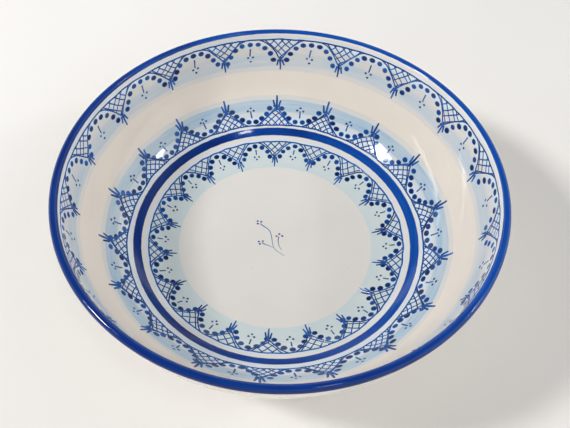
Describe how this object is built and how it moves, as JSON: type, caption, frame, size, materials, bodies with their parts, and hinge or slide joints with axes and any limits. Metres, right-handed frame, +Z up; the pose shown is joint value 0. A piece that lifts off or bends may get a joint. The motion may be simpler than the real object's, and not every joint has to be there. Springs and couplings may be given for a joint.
{
  "type": "serving bowl",
  "caption": "Large round footed serving bowl with a curved wall, a rolled blue lip and a blue ring round the well.",
  "frame": {"origin": "centre of the foot ring's resting face, on the table", "axes": "+Z up along the bowl's axis; +X and +Y any two level directions, because the bowl is round"},
  "size_m": [0.36, 0.36, 0.12],
  "materials": {
    "fired_clay": "matte",
    "white_glaze": "gloss",
    "blue_glaze": "gloss"
  },
  "bodies": {
    "root": {"bowl_body": "fired_clay", "rolled_lip": "fired_clay", "foot_ring": "fired_clay", "well_glaze": "white_glaze", "well_ring_blue": "blue_glaze", "wall_glaze": "white_glaze", "lip_blue": "blue_glaze", "outside_glaze": "white_glaze", "underside_glaze": "white_glaze"}
  },
  "joints": []
}
